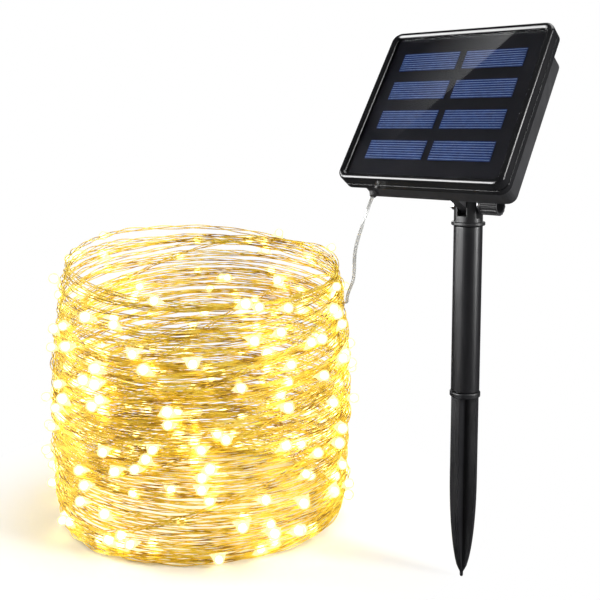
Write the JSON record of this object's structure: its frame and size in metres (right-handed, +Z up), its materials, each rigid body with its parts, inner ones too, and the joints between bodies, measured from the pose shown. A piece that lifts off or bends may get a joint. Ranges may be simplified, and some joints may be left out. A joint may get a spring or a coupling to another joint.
{
  "type": "solar string lights",
  "caption": "Solar panel head that tilts and swivels on a pole with a cross-bladed ground stake, with a lead to a coil of fine wire carrying warm lamp beads.",
  "frame": {"origin": "tip of the ground stake, at the level the coil lies on", "axes": "+Z up the pole, +X along the panel's width, and the panel faces -Y, leaning back"},
  "size_m": [0.342, 0.208, 0.324],
  "materials": {
    "black_stake": "moulded black plastic, satin",
    "black_tube": "extruded black plastic tube, satin",
    "black_cap": "moulded black plastic, satin",
    "bolt_steel": "nickel-plated steel",
    "black_knob": "moulded black plastic, fine grain",
    "gloss_housing": "polished black plastic",
    "clear_sheet": "clear polished sheet",
    "panel_board": "near-black laminate",
    "solar_cell": "blue silicon with fine silver lines",
    "matte_cover": "moulded black plastic, satin",
    "screw_steel": "zinc-plated steel",
    "battery_wrap": "shrink wrap",
    "contact_steel": "nickel-plated spring steel",
    "circuit_board": "green solder mask",
    "soft_button": "soft-touch rubber",
    "gland_rubber": "matt rubber",
    "clear_pvc": "clear PVC over two tinned wires",
    "clear_sleeve": "clear heat-shrink sleeve",
    "string_wire": "fine enamelled wire with clear lamp beads that glow warm white"
  },
  "bodies": {
    "stake": {"ground_stake": "black_stake", "pole_tube": "black_tube", "lead_lower": "clear_pvc", "lead_splice": "clear_sleeve", "led_coil": "string_wire"},
    "cap": {"swivel_cap": "black_cap", "tilt_bolt": "bolt_steel", "bolt_washer": "bolt_steel"},
    "knob": {"clamp_knob": "black_knob", "knob_nut": "bolt_steel"},
    "head": {"front_housing": "gloss_housing", "clear_sheet": "clear_sheet", "panel_board": "panel_board", "pv_cell_1": "solar_cell", "pv_cell_2": "solar_cell", "pv_cell_3": "solar_cell", "pv_cell_4": "solar_cell", "pv_cell_5": "solar_cell", "pv_cell_6": "solar_cell", "pv_cell_7": "solar_cell", "pv_cell_8": "solar_cell", "back_cover": "matte_cover", "cover_screw_1": "screw_steel", "cover_screw_2": "screw_steel", "cover_screw_3": "screw_steel", "cover_screw_4": "screw_steel", "hinge_bracket": "matte_cover", "bracket_screw_1": "screw_steel", "bracket_screw_2": "screw_steel", "battery_cell": "battery_wrap", "battery_spring": "contact_steel", "battery_contact": "contact_steel", "circuit_board": "circuit_board", "power_switch": "contact_steel", "mode_switch": "contact_steel", "cable_gland": "gland_rubber", "lead_upper": "clear_pvc"},
    "power_key": {"power_button": "soft_button"},
    "mode_key": {"mode_button": "soft_button"}
  },
  "joints": [
    {"name": "swivel", "type": "hinge", "parent": "stake", "child": "cap", "pos_m": [0, 0, 0.2109], "axis": [0, 0, 1], "range_deg": [-90, 90], "deforming": ["lead_lower"]},
    {"name": "tilt", "type": "hinge", "parent": "cap", "child": "head", "pos_m": [0, 0, 0.2235], "axis": [1, 0, 0], "range_deg": [-90, 34.5], "deforming": ["lead_upper"]},
    {"name": "knob_turn", "type": "hinge", "parent": "cap", "child": "knob", "pos_m": [0.014, 0, 0.2235], "axis": [1, 0, 0], "range_deg": [0, 720]},
    {"name": "power_press", "type": "slide", "parent": "head", "child": "power_key", "axis": [0, -0.8241, 0.5664], "range_m": [0, 0.001], "stiffness_N_per_m": 400},
    {"name": "mode_press", "type": "slide", "parent": "head", "child": "mode_key", "axis": [0, -0.8241, 0.5664], "range_m": [0, 0.001], "stiffness_N_per_m": 400}
  ]
}
